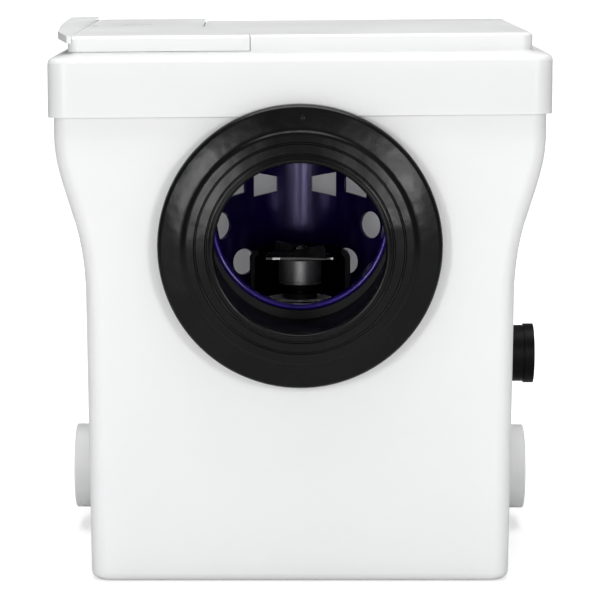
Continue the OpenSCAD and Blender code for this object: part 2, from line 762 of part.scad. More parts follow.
// Everything that turns: slinger, hub, blades, nut, shaft and the pump's impeller
module cutter_slinger() {
    color("black") on_axis(slinger_z) difference() {
        union() {
            cylinder(r = slinger_r, h = slinger_t / 2);
            translate([0, 0, slinger_t / 2]) cylinder(r = slinger_r - slinger_t / 4, h = slinger_t / 2);
        }
        translate([0, 0, -over]) cylinder(r = shaft_r + run_fit, h = slinger_t + 2 * over);
    }
}
module cutter_hub() {
    groove = blade_t / 2;
    color("silver") on_axis(hub_z) difference() {
        cylinder(r = hub_r, h = hub_h);
        translate([0, 0, -over]) cylinder(r = shaft_r + run_fit, h = hub_h + 2 * over);
        translate([0, 0, groove]) ring(hub_r + over, hub_r - groove / 2, groove);
    }
}
module bar_blade() {
    hone = blade_w / 4;
    color("silver") on_axis(blade_z) difference() {
        intersection() {
            translate([-blade_len / 2, -blade_w / 2, 0]) cube([blade_len, blade_w, blade_t]);
            cylinder(r = blade_len / 2, h = blade_t);
        }
        translate([0, 0, -over]) cylinder(r = thread_r + run_fit, h = blade_t + 2 * over);
        for (side = [0, 180]) rotate([0, 0, side])
            translate([nut_r + hone, -blade_w / 2, blade_t]) rotate([-30, 0, 0])
                translate([0, -blade_w, 0]) cube([blade_len, 2 * blade_w, blade_t]);
    }
}
module wing() {
    translate([0, blade_w / 2, 0]) rotate([90, 0, 0]) linear_extrude(blade_t)
        polygon([[-fin_len, 0], [-fin_len * 0.92, blade_t + fin_h],
            [blade_t, blade_t + fin_h * fin_top_share], [2 * blade_t, 0]]);
}
module upturned_blade() {
    color("silver") on_axis(fin_z) rotate([0, 0, fin_turn]) difference() {
        union() {
            translate([-fin_len, -blade_w / 2, 0]) cube([2 * fin_len, blade_w, blade_t]);
            for (side = [0, 180]) rotate([0, 0, side]) wing();
        }
        translate([0, 0, -over]) cylinder(r = thread_r + run_fit, h = blade_t + 2 * over);
    }
}
module blade_nut() {
    color("silver") on_axis(nut_z) difference() {
        cylinder(r = nut_r, h = nut_h, $fn = 6);
        translate([0, 0, -over]) cylinder(r = thread_r + run_fit, h = nut_h + 2 * over);
    }
}
module shaft() {
    low_z = casing_z + impeller_gap + casing_wall;
    color("lightgray") on_axis(0) {
        translate([0, 0, low_z]) cylinder(r = shaft_r, h = blade_z - low_z);
        translate([0, 0, blade_z - over]) cylinder(r = thread_r, h = 2 * blade_t + nut_h + 2 * over);
    }
}
module rotor_core() {
    color("gray") on_axis(core_z) ring(rotor_r, shaft_r + run_fit, core_h);
}
module impeller() {
    low_z = casing_z + casing_wall / 2 + impeller_gap;
    h = casing_h - casing_wall * 1.5 - 2 * impeller_gap;
    pitch = impeller_r * 0.62;
    color("dimgray") on_axis(low_z) difference() {
        union() {
            translate([0, 0, h - shroud_t]) cylinder(r = impeller_r, h = shroud_t);
            cylinder(r = impeller_hub_r, h = h);
            linear_extrude(h - shroud_t / 2) intersection() {
                circle(r = impeller_r);
                for (i = [0:vane_count - 1]) rotate([0, 0, 360 * i / vane_count + vane_sweep])
                    translate([pitch / 2, 0]) difference() {
                        circle(r = pitch + vane_t / 2);
                        circle(r = pitch - vane_t / 2);
                        translate([-2 * pitch, 0]) square(4 * pitch);
                        translate([-4 * pitch - shaft_r, -2 * pitch]) square(4 * pitch);
                    }
            }
        }
        translate([0, 0, -over]) cylinder(r = shaft_r + run_fit, h = h + 2 * over);
    }
}

// The motor: a sealed can with a stator, two bearings and a seal at each end
module stator_core() {
    color("slategray") on_axis(core_z) difference() {
        ring(stator_r, rotor_r + air_gap, core_h);
        for (i = [0:stator_slots - 1]) rotate([0, 0, 360 * i / stator_slots])
            translate([rotor_r + air_gap + boss_wall, -stator_slot_w / 2, -over])
                cube([stator_r - rotor_r - 2 * boss_wall, stator_slot_w, core_h + 2 * over]);
    }
}
module stator_windings() {
    mid_r = (stator_r + rotor_r + air_gap) / 2;
    half = (stator_r - rotor_r - air_gap) / 2 - boss_wall / 2;
    bend = winding_h / 3;
    color("peru") for (z = [core_z - winding_h - easy_fit, core_z + core_h + easy_fit]) on_axis(z)
        rotate_extrude() {
            translate([mid_r - half, bend]) square([2 * half, winding_h - 2 * bend]);
            translate([mid_r - half + bend, 0]) square([2 * (half - bend), winding_h]);
            for (x = [-1, 1], y = [bend, winding_h - bend]) translate([mid_r + x * (half - bend), y])
                circle(r = bend);
        }
}
module motor_can() {
    color("lightsteelblue") on_axis(motor_z) {
        ring(can_r, can_r - can_wall, motor_h);
    }
}
module motor_end_plate() {
    color("gray") on_axis(end_plate_z) difference() {
        union() {
            cylinder(r = can_r, h = end_plate_t);
            translate([0, 0, end_plate_t]) cylinder(r = bearing_r + boss_wall, h = bearing_h);
        }
        translate([0, 0, end_plate_t]) cylinder(r = bearing_r + run_fit, h = bearing_h + over);
        translate([0, 0, -over]) cylinder(r = seal_r + easy_fit, h = end_plate_t + 2 * over);
    }
}
module motor_top_cap() {
    color("gray") difference() {
        union() {
            on_axis(cap_z) cylinder(r = can_r, h = cap_flange_t);
            on_axis(cap_z) cylinder(r = cap_hub_r, h = cap_h);
            on_axis(upper_bearing_z) cylinder(r = bearing_r + boss_wall, h = bearing_h);
        }
        on_axis(upper_bearing_z - over) cylinder(r = bearing_r + run_fit, h = bearing_h + over);
        on_axis(cap_z - over) cylinder(r = seal_r + easy_fit, h = cap_h + 2 * over);
    }
}
module bearing(z) {
    groove = bearing_h / 8;
    color("silver") on_axis(z) difference() {
        ring(bearing_r, shaft_r + run_fit, bearing_h);
        for (face = [-over, bearing_h - groove]) translate([0, 0, face])
            ring(bearing_r - groove * 2, shaft_r + groove * 2, groove + over);
    }
}
module upper_bearing() { bearing(upper_bearing_z); }
module lower_bearing() { bearing(motor_z); }
module upper_shaft_seal() {
    color("black") on_axis(cap_z) ring(seal_r, shaft_r + run_fit, basket_floor_z + seal_rise - cap_z);
}
module lower_shaft_seal() {
    low_z = end_plate_z - casing_wall;
    color("black") on_axis(low_z) ring(seal_r, shaft_r + run_fit, casing_wall + end_plate_t);
}

// The pump: a spiral casing over a suction plate, both standing on rubber feet
function spiral_r(share, inset) = spiral_start_r + (spiral_end_r - spiral_start_r) * share - inset;
module spiral_plan(inset) {
    polygon([for (i = [0:spiral_steps]) let (share = i / spiral_steps, a = 360 * share - 90)
        [spiral_r(share, inset) * cos(a), spiral_r(share, inset) * sin(a)]]);
}
module pump_casing() {
    chamber_h = casing_h - casing_wall;
    color("dimgray") difference() {
        union() {
            on_axis(casing_z) linear_extrude(casing_h) spiral_plan(0);
            along_x(0, spout_y, spout_z) cylinder(r = casing_h / 2, h = spout_end_x);
        }
        on_axis(casing_z - over) linear_extrude(chamber_h + over) spiral_plan(casing_wall);
        along_x(-over, spout_y, spout_z) cylinder(r = spout_r, h = spout_end_x + 2 * over);
        on_axis(casing_z) cylinder(r = seal_r + easy_fit, h = casing_h + over);
    }
}
module suction_plate() {
    color("gray") on_axis(suction_z) difference() {
        linear_extrude(suction_t) spiral_plan(0);
        translate([0, 0, -over]) cylinder(r = eye_r, h = suction_t + 2 * over);
    }
}
module suction_strainer() {
    color("dimgray") on_axis(wall + seat_gap) difference() {
        ring(strainer_r, strainer_r - strainer_wall, foot_h - seat_gap);
        for (i = [0:strainer_slots - 1]) rotate([0, 0, 360 * i / strainer_slots])
            translate([strainer_r - 2 * strainer_wall, -strainer_slot_w / 2, -over])
                cube([3 * strainer_wall, strainer_slot_w, foot_h - strainer_wall / 2]);
    }
}
module pump_feet() {
    color("black") for (a = foot_angles) on_axis(wall)
        translate([foot_place_r * cos(a), foot_place_r * sin(a), 0]) {
            cylinder(r = foot_r, h = foot_h / 2);
            translate([0, 0, foot_h / 2]) cylinder(r = foot_r - foot_h / 6, h = foot_h / 2);
        }
}
module pump_screws() {
    color("silver") for (a = [0:45:315]) on_axis(cap_z + cap_flange_t)
        rotate([0, 0, a]) translate([can_r - screw_head_r - over, 0, 0]) difference() {
            cylinder(r = screw_head_r, h = screw_head_h);
            translate([0, 0, screw_head_h / 2]) cylinder(r = screw_r, h = screw_head_h, $fn = 6);
        }
}

// The discharge: a riser with two bends, and an outlet with its check valve in the tank's wall
module pipe_bore(r, h) { ring(r, pipe_in_r, h); }
module pipe_bend() {
    rotate_extrude(angle = 90) translate([bend_r, 0]) difference() {
        circle(r = pipe_r);
        circle(r = pipe_in_r);
    }
}
module discharge_pipe() {
    lap = 1.5 * tail_len;
    color("dimgray") {
        along_x(spout_end_x - lap, spout_y, spout_z) pipe_bore(pipe_r, lap);
        translate([spout_end_x, spout_y, spout_z + bend_r]) rotate([90, 0, 0]) rotate([0, 0, -90]) pipe_bend();
        translate([riser_x, spout_y, spout_z + bend_r]) pipe_bore(pipe_r, outlet_z - spout_z - 2 * bend_r);
        translate([valve_x, spout_y, outlet_z - bend_r]) rotate([90, 0, 0]) rotate([0, 0, 90]) pipe_bend();
    }
}
module hose_clamps() {
    places = [[spout_end_x - tail_len, spout_z]];
    color("silver") for (place = places) along_x(place[0] - clamp_w / 2, spout_y, place[1]) {
        ring(pipe_r + clamp_t, pipe_r + run_fit, clamp_w);
        translate([-clamp_w, pipe_r + clamp_t / 2, 0]) cube([2 * clamp_w, clamp_w * 0.8, clamp_w]);
    }
}
module discharge_outlet() {
    body_len = outlet_tip_x - valve_x;
    color("black") difference() {
        union() {
            along_x(valve_x, outlet_y, outlet_z) cylinder(r = outlet_r, h = body_len);
            along_x(outlet_tip_x - outlet_lip_t, outlet_y, outlet_z)
                cylinder(r = outlet_lip_r, h = outlet_lip_t);
        }
        along_x(valve_x - over, outlet_y, outlet_z) cylinder(r = spout_r, h = body_len);
        along_x(valve_x + seat_t, outlet_y, outlet_z) cylinder(r = chamber_r, h = body_len);
        along_x(outlet_tip_x - socket_len, outlet_y, outlet_z) cylinder(r = socket_r, h = socket_len + over);
        translate([check_pin_x, outlet_y, outlet_z + check_pin_rise]) rotate([90, 0, 0])
            cylinder(r = pin_r + run_fit, h = check_pin_len + 2 * seat_gap, center = true);
    }
}
module outlet_locknut() {
    nut_x = half_w(outlet_z - 2 * locknut_r) - wall - locknut_t;
    color("black") along_x(nut_x, outlet_y, outlet_z) difference() {
        cylinder(r = locknut_r, h = locknut_t, $fn = locknut_flats);
        translate([0, 0, -over]) cylinder(r = outlet_r + run_fit, h = locknut_t + 2 * over);
    }
}
module discharge_flap() {
    color("darkorange") difference() {
        union() {
            along_x(check_pin_x - check_flap_t, outlet_y, outlet_z) cylinder(r = check_flap_r, h = check_flap_t);
            translate([check_pin_x, outlet_y, outlet_z + check_pin_rise]) rotate([90, 0, 0])
                cylinder(r = lug_r, h = check_lug_len, center = true);
            translate([check_pin_x - check_flap_t, outlet_y - check_lug_len / 2, outlet_z])
                cube([check_flap_t, check_lug_len, check_pin_rise]);
        }
        translate([check_pin_x, outlet_y, outlet_z + check_pin_rise]) rotate([90, 0, 0])
            cylinder(r = pin_r + run_fit, h = check_pin_len, center = true);
    }
}

// The side inlets: a seat in each wall with a flap that hangs from a pin and opens inwards
module inlet_seat() {
    ear_x = inlet_pin_x - inlet_lug_r;
    ear_len = seat_face_x - ear_x + seat_flange_t / 2;
    along_x(seat_face_x, spigot_y, spigot_z) ring(seat_flange_r, seat_bore_r, seat_flange_t);
    along_x(seat_face_x + seat_flange_t, spigot_y, spigot_z)
        ring(spigot_r - spigot_wall - easy_fit, seat_bore_r, seat_plug_len);
    for (side = [-1, 1]) difference() {
        translate([ear_x, spigot_y + side * (inlet_lug_len / 2 + ear_t / 2 + seat_gap) - ear_t / 2,
            spigot_z + inlet_flap_r + seat_gap])
            cube([ear_len, ear_t, 2.5 * inlet_lug_r]);
        translate([inlet_pin_x, spigot_y, spigot_z + inlet_pin_rise]) rotate([90, 0, 0])
            cylinder(r = inlet_pin_r + run_fit, h = 2 * inlet_pin_len, center = true);
    }
}
module inlet_flap() {
    face_x = seat_face_x - seat_gap - inlet_flap_t;
    difference() {
        union() {
            along_x(face_x, spigot_y, spigot_z) cylinder(r = inlet_flap_r, h = inlet_flap_t);
            along_x(face_x - inlet_flap_t / 3, spigot_y, spigot_z) cylinder(r = inlet_flap_r / 2, h = inlet_flap_t);
            translate([inlet_pin_x, spigot_y, spigot_z + inlet_pin_rise]) rotate([90, 0, 0])
                cylinder(r = inlet_lug_r, h = inlet_lug_len, center = true);
            translate([face_x, spigot_y - inlet_lug_len / 2, spigot_z])
                cube([inlet_flap_t, inlet_lug_len, inlet_pin_rise]);
        }
        translate([inlet_pin_x, spigot_y, spigot_z + inlet_pin_rise]) rotate([90, 0, 0])
            cylinder(r = inlet_pin_r + run_fit, h = 2 * inlet_pin_len, center = true);
    }
}
module left_inlet_seat() { color("black") on_left() inlet_seat(); }
module right_inlet_seat() { color("black") inlet_seat(); }
module left_inlet_flap() { color("darkorange") on_left() inlet_flap(); }
module right_inlet_flap() { color("darkorange") inlet_flap(); }
module inlet_pin() {
    translate([inlet_pin_x, spigot_y, spigot_z + inlet_pin_rise]) rotate([90, 0, 0])
        cylinder(r = inlet_pin_r, h = inlet_pin_len, center = true);
}
module flap_pins() {
    color("silver") {
        translate([check_pin_x, outlet_y, outlet_z + check_pin_rise]) rotate([90, 0, 0])
            cylinder(r = pin_r, h = check_pin_len, center = true);
        inlet_pin();
        on_left() inlet_pin();
    }
}

// Level control: rising water shuts air into the bell, which lifts the switch's diaphragm
module pressure_bell() {
    color("gray") translate([-bell_x, bell_y, bell_low_z]) difference() {
        union() {
            cylinder(r = bell_r, h = bell_h);
            translate([0, 0, bell_h]) cylinder(r = hose_r + bell_wall, h = 2 * hose_r);
        }
        translate([0, 0, -over]) cylinder(r = bell_r - bell_wall, h = bell_h - bell_wall + over);
        translate([0, 0, bell_h - 2 * bell_wall]) cylinder(r = hose_bore_r, h = 4 * hose_r);
        translate([0, 0, bell_h + hose_r]) cylinder(r = hose_r + run_fit, h = 2 * hose_r);
    }
}
module pressure_hose() {
    low_z = bell_low_z + bell_h + hose_r;
    color("dimgray") translate([-bell_x, bell_y, low_z]) ring(hose_r, hose_bore_r, well_z + well_wall / 2 - low_z);
}
module pressure_switch() {
    room_r = switch_r - switch_wall;
    room_z = 2 * switch_wall;
    color("black") translate([-bell_x, bell_y, well_z]) difference() {
        cylinder(r = switch_r, h = switch_h);
        translate([0, 0, room_z]) cylinder(r = room_r, h = diaphragm_t + switch_travel + 2 * seat_gap);
        translate([0, 0, -over]) cylinder(r = hose_r + run_fit, h = switch_wall + over);
        translate([0, 0, -over]) cylinder(r = hose_bore_r, h = room_z + 2 * over);
        translate([0, 0, room_z]) cylinder(r = stem_r + run_fit, h = switch_h);
    }
}
module switch_diaphragm() {
    color("darkorange") translate([-bell_x, bell_y, well_z + 2 * switch_wall + seat_gap]) {
        cylinder(r = switch_r - switch_wall - seat_gap, h = diaphragm_t);
        cylinder(r = stem_r, h = switch_h - 2 * switch_wall - seat_gap);
    }
}
module control_box() {
    base_h = control_h - control_cover_t;
    color("dimgray") translate([control_x, control_y, well_z]) difference() {
        cube([control_w, control_len, base_h]);
        translate([control_wall, control_wall, control_wall])
            cube([control_w - 2 * control_wall, control_len - 2 * control_wall, control_h]);
    }
}
module control_box_cover() {
    color("gray") translate([control_x, control_y, well_z + control_h - control_cover_t]) {
        cube([control_w, control_len, control_cover_t]);
        translate([control_wall + easy_fit, control_wall + easy_fit, -control_wall])
            cube([control_w - 2 * (control_wall + easy_fit), control_len - 2 * (control_wall + easy_fit), control_wall]);
    }
}
module control_screws() {
    color("silver") for (x = [control_screw_inset, control_w - control_screw_inset],
            y = [control_screw_inset, control_len - control_screw_inset])
        translate([control_x + x, control_y + y, well_z + control_h]) cylinder(r = screw_r, h = screw_head_h / 2);
}
module capacitor() {
    cap_edge = capacitor_r / 4;
    color("ivory") translate([capacitor_x, capacitor_y, well_z + capacitor_r + clip_t]) rotate([-90, 0, 0]) {
        cylinder(r = capacitor_r, h = capacitor_len - cap_edge);
        translate([0, 0, capacitor_len - cap_edge]) cylinder(r = capacitor_r - cap_edge, h = cap_edge);
    }
}
module capacitor_clip() {
    foot = capacitor_r + 2 * clip_t;
    color("silver") translate([capacitor_x, capacitor_y + capacitor_len / 2 - clip_w / 2, well_z]) {
        translate([0, 0, capacitor_r + clip_t]) rotate([-90, 0, 0])
            ring(capacitor_r + clip_t, capacitor_r + run_fit, clip_w);
        translate([-foot, 0, 0]) cube([2 * foot, clip_w, clip_t]);
    }
}
module vent_filter() {
    color("dimgray") translate([filter_x, filter_y, well_z]) difference() {
        union() {
            cylinder(r = filter_r, h = filter_h);
            translate([0, 0, -well_wall - over]) cylinder(r = filter_stem_r - easy_fit, h = well_wall + 2 * over);
        }
        translate([0, 0, -well_wall - 2 * over])
            cylinder(r = filter_stem_r - well_wall, h = filter_h + well_wall + over);
        for (i = [0:filter_slots - 1]) rotate([0, 0, 360 * i / filter_slots])
            translate([0, -filter_slot_w / 2, filter_h / 3]) cube([filter_r + over, filter_slot_w, filter_h / 3]);
    }
}
module cable_grommet() {
    color("black") translate([grommet_x, half_platform_d - cover_wall / 2, grommet_z]) rotate([90, 0, 0])
        difference() {
            cylinder(r = grommet_r, h = grommet_len, center = true);
            cylinder(r = grommet_bore_r, h = 2 * grommet_len, center = true);
        }
}

tank();
lid();
lid_gasket();
service_cover();
toilet_sleeve();
inlet_tube();
basket();
grinding_plate();
cutter_guard();
cutter_hub();
cutter_slinger();
bar_blade();
upturned_blade();
blade_nut();
shaft();
rotor_core();
stator_core();
stator_windings();
motor_can();
motor_top_cap();
motor_end_plate();
upper_bearing();
lower_bearing();
upper_shaft_seal();
lower_shaft_seal();
pump_casing();
impeller();
suction_plate();
suction_strainer();
pump_feet();
pump_screws();
discharge_pipe();
hose_clamps();
discharge_outlet();
outlet_locknut();
discharge_flap();
left_inlet_seat();
right_inlet_seat();
left_inlet_flap();
right_inlet_flap();
flap_pins();
pressure_bell();
pressure_hose();
pressure_switch();
switch_diaphragm();
control_box();
control_box_cover();
control_screws();
capacitor();
capacitor_clip();
vent_filter();
cable_grommet();
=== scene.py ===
import json
import math

import bmesh
import bpy
from mathutils import Matrix, Vector


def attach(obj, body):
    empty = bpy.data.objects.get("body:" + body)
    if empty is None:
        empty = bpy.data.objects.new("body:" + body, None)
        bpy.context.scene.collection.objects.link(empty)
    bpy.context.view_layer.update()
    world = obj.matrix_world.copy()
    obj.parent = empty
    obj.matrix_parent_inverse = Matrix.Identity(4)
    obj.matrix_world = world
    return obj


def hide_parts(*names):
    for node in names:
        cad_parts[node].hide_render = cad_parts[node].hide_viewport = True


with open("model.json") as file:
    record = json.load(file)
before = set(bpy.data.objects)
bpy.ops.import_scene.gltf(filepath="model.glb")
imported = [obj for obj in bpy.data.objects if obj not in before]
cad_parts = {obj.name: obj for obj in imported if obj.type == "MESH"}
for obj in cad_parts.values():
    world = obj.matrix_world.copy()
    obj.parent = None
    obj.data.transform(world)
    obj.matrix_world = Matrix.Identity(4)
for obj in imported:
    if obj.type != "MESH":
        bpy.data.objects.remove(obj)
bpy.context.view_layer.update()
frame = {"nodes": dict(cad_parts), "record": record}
NODES = frame["nodes"]
RECORD = frame["record"]
MM = 0.001
SLOT_OF = {row["node"]: row["material_slot"] for row in RECORD["subparts"]}
BODY_OF = {node: body for body, nodes in RECORD["behaviour"]["bodies"].items() for node in nodes}
scene = bpy.context.scene

# Noise that the materials share: levels of detail, and where the two colours of a blend begin and end
RELIEF_DETAIL, COLOR_DETAIL = 3.0, 4.0
BLEND_START, BLEND_END = 0.32, 0.72
WAVE_DEPTH = 0.002


# Materials: one builder for all, with colour variation, roughness mottling and fine relief from noise
def set_sockets(node, values):
    for name, value in values.items():
        node.inputs[name].default_value = value


def noise_field(tree, scale, detail, stretch):
    place = tree.nodes.new("ShaderNodeTexCoord")
    mapping = tree.nodes.new("ShaderNodeMapping")
    mapping.inputs["Scale"].default_value = stretch
    noise = tree.nodes.new("ShaderNodeTexNoise")
    set_sockets(noise, {"Scale": scale, "Detail": detail})
    tree.links.new(place.outputs["Object"], mapping.inputs["Vector"])
    tree.links.new(mapping.outputs["Vector"], noise.inputs["Vector"])
    return noise.outputs["Fac"]


def blend_colors(tree, vary, first, second):
    ramp = tree.nodes.new("ShaderNodeValToRGB")
    low, high = ramp.color_ramp.elements
    low.position, low.color = BLEND_START, (*first, 1)
    high.position, high.color = BLEND_END, (*second, 1)
    tree.links.new(vary, ramp.inputs["Fac"])
    return ramp.outputs["Color"]


def spread_roughness(tree, vary, roughness, mottle):
    spread = tree.nodes.new("ShaderNodeMapRange")
    set_sockets(spread, {"From Min": 0.3, "From Max": 0.7,
                         "To Min": roughness - mottle, "To Max": roughness + mottle})
    tree.links.new(vary, spread.inputs["Value"])
    return spread.outputs["Result"]


def add_relief(tree, height, strength, distance, normal):
    bumper = tree.nodes.new("ShaderNodeBump")
    set_sockets(bumper, {"Strength": strength, "Distance": distance})
    tree.links.new(height, bumper.inputs["Height"])
    if normal:
        tree.links.new(normal, bumper.inputs["Normal"])
    return bumper.outputs["Normal"]


def let_light_through(tree, color, share):
    shader = tree.nodes["Principled BSDF"]
    glow = tree.nodes.new("ShaderNodeBsdfTranslucent")
    glow.inputs["Color"].default_value = (*color, 1)
    mix = tree.nodes.new("ShaderNodeMixShader")
    mix.inputs["Fac"].default_value = share
    tree.links.new(shader.outputs["BSDF"], mix.inputs[1])
    tree.links.new(glow.outputs["BSDF"], mix.inputs[2])
    tree.links.new(mix.outputs["Shader"], tree.nodes["Material Output"].inputs["Surface"])


def material(name, color, second, roughness, mottle, metallic=0.0, specular=0.5, vary_scale=40.0,
             bump=0.0, bump_scale=900.0, depth=0.00015, wave=0.0, wave_scale=25.0,
             stretch=(1, 1, 1), translucent=0.0, tint=(1, 1, 1)):
    """Two close colours, a mottled roughness, a fine bump and, where it has one, a broad wave."""
    m = bpy.data.materials.new(name)
    m.use_nodes = True
    m.diffuse_color = (*color, 1)
    tree = m.node_tree
    shader = tree.nodes["Principled BSDF"]
    set_sockets(shader, {"Base Color": (*color, 1), "Roughness": roughness, "Metallic": metallic,
                         "Specular IOR Level": specular, "Specular Tint": (*tint, 1)})
    vary = noise_field(tree, vary_scale, COLOR_DETAIL, stretch)
    tree.links.new(blend_colors(tree, vary, color, second), shader.inputs["Base Color"])
    tree.links.new(spread_roughness(tree, vary, roughness, mottle), shader.inputs["Roughness"])
    fine = noise_field(tree, bump_scale, RELIEF_DETAIL, stretch)
    normal = add_relief(tree, fine, bump, depth, None)
    if wave:
        broad = noise_field(tree, wave_scale, RELIEF_DETAIL, (1, 1, 1))
        normal = add_relief(tree, broad, wave, WAVE_DEPTH, normal)
    tree.links.new(normal, shader.inputs["Normal"])
    if translucent:
        let_light_through(tree, color, translucent)
    return m


LOOKS = {
    "tank_white": material(
        "tank_white", (0.86, 0.862, 0.865), (0.845, 0.848, 0.852), 0.42, 0.06, specular=0.4, vary_scale=14,
        bump=0.12, bump_scale=1400, depth=0.00008, wave=0.05, wave_scale=9, translucent=0.42),
    # Darker than the tank's white: painted shade that offsets the stronger light the lid gets from the
    # lamps.
    "lid_white": material(
        "lid_white", (0.765, 0.767, 0.77), (0.752, 0.755, 0.759), 0.34, 0.07, specular=0.45, vary_scale=18,
        bump=0.1, bump_scale=1600, depth=0.00008, wave=0.07, wave_scale=16, translucent=0.34),
    "sleeve_rubber": material(
        "sleeve_rubber", (0.001, 0.001, 0.0011), (0.0022, 0.0022, 0.0024), 0.27, 0.08, specular=0.14,
        vary_scale=24, bump=0.3, bump_scale=520, depth=0.0001, wave=0.6, wave_scale=26),
    "black_rubber": material(
        "black_rubber", (0.006, 0.006, 0.006), (0.011, 0.011, 0.011), 0.6, 0.08, specular=0.3, vary_scale=60,
        bump=0.4),
    "black_plastic": material(
        "black_plastic", (0.0018, 0.0018, 0.002), (0.0036, 0.0036, 0.004), 0.4, 0.06, specular=0.07,
        vary_scale=70, bump=0.15, bump_scale=1100, depth=0.0001),
    "basket_violet": material(
        "basket_violet", (0.008, 0.002, 0.06), (0.011, 0.003, 0.078), 0.17, 0.03, specular=0.42,
        tint=(0.62, 0.56, 1.0), vary_scale=30, bump=0.05, bump_scale=700, depth=0.0001, wave=0.04,
        wave_scale=40),
    # Steel far darker than bare steel: painted shade for the dark inside of the basket, which also keeps the
    # blade edges from shining.
    "steel": material(
        "steel", (0.05, 0.05, 0.052), (0.08, 0.08, 0.082), 0.34, 0.06, metallic=1.0, vary_scale=160,
        bump=0.3, bump_scale=1800, depth=0.00006, stretch=(1, 6, 1)),
    "hub_steel": material(
        "hub_steel", (0.42, 0.417, 0.41), (0.5, 0.497, 0.49), 0.46, 0.05, metallic=1.0, vary_scale=500,
        bump=0.3, bump_scale=1500, depth=0.00004),
    # Near-white and not metallic: the steel plate's light colour is painted light, standing in for its
    # bright reflection.
    "plate_steel": material(
        "plate_steel", (0.9, 0.9, 0.89), (0.94, 0.94, 0.93), 0.5, 0.05, vary_scale=120, bump=0.15,
        bump_scale=1200, depth=0.00004),
    "can_steel": material(
        "can_steel", (0.5, 0.505, 0.51), (0.6, 0.6, 0.605), 0.34, 0.06, metallic=1.0, vary_scale=90,
        bump=0.35, depth=0.00006, stretch=(1, 1, 14)),
    "cast_aluminium": material(
        "cast_aluminium", (0.42, 0.425, 0.435), (0.52, 0.525, 0.535), 0.52, 0.08, metallic=0.85,
        vary_scale=80, bump=0.6, bump_scale=800),
    "core_steel": material(
        "core_steel", (0.11, 0.11, 0.115), (0.17, 0.165, 0.16), 0.5, 0.1, metallic=0.7, vary_scale=60,
        bump=0.8, bump_scale=250, stretch=(0.2, 0.2, 12)),
    "winding_copper": material(
        "winding_copper", (0.5, 0.17, 0.06), (0.66, 0.28, 0.11), 0.34, 0.08, metallic=0.85, vary_scale=140,
        bump=0.8, bump_scale=500, stretch=(1, 1, 5)),
    "pump_grey": material(
        "pump_grey", (0.09, 0.094, 0.1), (0.12, 0.124, 0.13), 0.42, 0.08, vary_scale=50, bump=0.35),
    "impeller_black": material(
        "impeller_black", (0.024, 0.024, 0.027), (0.036, 0.036, 0.04), 0.42, 0.07, vary_scale=60, bump=0.3),
    "flap_orange": material(
        "flap_orange", (0.62, 0.16, 0.03), (0.7, 0.21, 0.05), 0.5, 0.06, vary_scale=60, bump=0.3),
    "bell_grey": material(
        "bell_grey", (0.32, 0.33, 0.34), (0.37, 0.38, 0.39), 0.42, 0.06, bump=0.25, translucent=0.15),
    "hose_clear": material(
        "hose_clear", (0.07, 0.07, 0.08), (0.1, 0.1, 0.11), 0.28, 0.06, vary_scale=90, bump=0.2,
        bump_scale=700),
    "control_grey": material(
        "control_grey", (0.15, 0.16, 0.175), (0.18, 0.19, 0.205), 0.5, 0.06, vary_scale=50, bump=0.45,
        bump_scale=1000),
    "capacitor_white": material(
        "capacitor_white", (0.74, 0.73, 0.68), (0.79, 0.78, 0.73), 0.38, 0.06, vary_scale=45, bump=0.12),
}
# Light steel for the small blocks at the bar blade's ends: a painted glint.
GLINT_PAINT_STEEL = material(
    "painted_glint_steel", (0.85, 0.85, 0.84), (0.92, 0.92, 0.91), 0.3, 0.05, metallic=0.4, vary_scale=200,
    bump=0.2, bump_scale=1500, depth=0.00004)
# Violet much lighter than the basket's own: painted light on the rim of the basket's inlet.
LIT_RIM_PAINT = material(
    "rim_violet_painted_lit", (0.028, 0.012, 0.24), (0.04, 0.018, 0.32), 0.2, 0.05, specular=0.45, vary_scale=60,
    bump=0.15, bump_scale=800, depth=0.0001, translucent=0.3)
for node_name, node in NODES.items():
    node.data.materials.clear()
    node.data.materials.append(LOOKS[SLOT_OF[node_name]])


# Mesh tools. Profiles, places and blocks are in millimetres, and meshes in metres.
def add_object(name, mesh, look, body):
    piece = bpy.data.objects.new(name, mesh)
    scene.collection.objects.link(piece)
    mesh.materials.clear()
    mesh.materials.append(look)
    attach(piece, body)
    return piece


def mesh_from(name, points, faces):
    mesh = bpy.data.meshes.new(name)
    mesh.from_pydata([tuple(p) for p in points], [], faces)
    bm = bmesh.new()
    bm.from_mesh(mesh)
    bmesh.ops.remove_doubles(bm, verts=bm.verts, dist=1e-7)
    bmesh.ops.recalc_face_normals(bm, faces=bm.faces)
    bm.to_mesh(mesh)
    bm.free()
    return mesh


def soften(piece, angle):
    piece.data.shade_smooth()
    piece.data.set_sharp_from_angle(angle=math.radians(angle))


def add_bevel(piece, width, segments=2, angle=38):
    bevel = piece.modifiers.new("bevel", "BEVEL")
    bevel.width = width
    bevel.segments = segments
    bevel.limit_method = "ANGLE"
    bevel.angle_limit = math.radians(angle)
    bevel.harden_normals = False
    bevel.use_clamp_overlap = True
    bevel.miter_outer = "MITER_ARC"


def apply_modifiers(piece):
    graph = bpy.context.evaluated_depsgraph_get()
    graph.update()
    done = bpy.data.meshes.new_from_object(piece.evaluated_get(graph), depsgraph=graph)
    old = piece.data
    piece.modifiers.clear()
    piece.data = done
    bpy.data.meshes.remove(old)


def settle(piece, angle=35):
    """Apply the modifiers, keep flat faces flat with weighted normals, and smooth the rest."""
    soften(piece, angle)
    weigh = piece.modifiers.new("weigh", "WEIGHTED_NORMAL")
    weigh.keep_sharp = True
    weigh.weight = 80
    apply_modifiers(piece)


